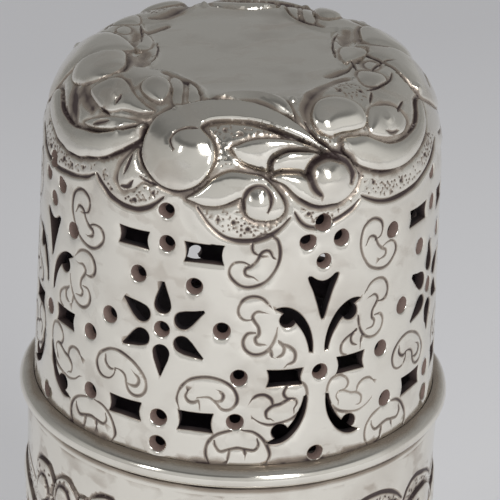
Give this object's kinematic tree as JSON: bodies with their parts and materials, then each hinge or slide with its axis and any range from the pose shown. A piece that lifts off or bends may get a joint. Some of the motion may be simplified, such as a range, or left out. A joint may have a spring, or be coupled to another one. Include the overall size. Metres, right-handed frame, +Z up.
{
  "type": "pepper pot",
  "caption": "Cylindrical pepper pot on a spreading foot, with a pull-off domed cover pierced with stars, leaves, bars and dots.",
  "frame": {"origin": "on the table, under the middle of the foot", "axes": "+Z up along the axis of the pot, the pictured front faces -Y"},
  "size_m": [0.044, 0.044, 0.0846],
  "materials": {
    "cover_silver": "hand-polished silver sheet, chased and pierced, brown tarnish in the chasing",
    "wire_silver": "polished silver wire, bright on the crest",
    "body_silver": "hand-polished silver sheet, chased with scrolls",
    "inner_silver": "plain silver sheet left from the hammer, dulled by use"
  },
  "bodies": {
    "pot": {"body_wall": "body_silver", "body_rim": "wire_silver", "body_floor": "inner_silver", "foot_collar": "wire_silver", "foot": "body_silver", "foot_wire": "wire_silver"},
    "cover": {"cover_shell": "cover_silver", "cover_moulding": "wire_silver", "cover_sleeve": "inner_silver"}
  },
  "joints": [
    {"name": "cover_pull", "type": "slide", "parent": "pot", "child": "cover", "axis": [0, 0, 1], "range_m": [0, 0.02]}
  ]
}
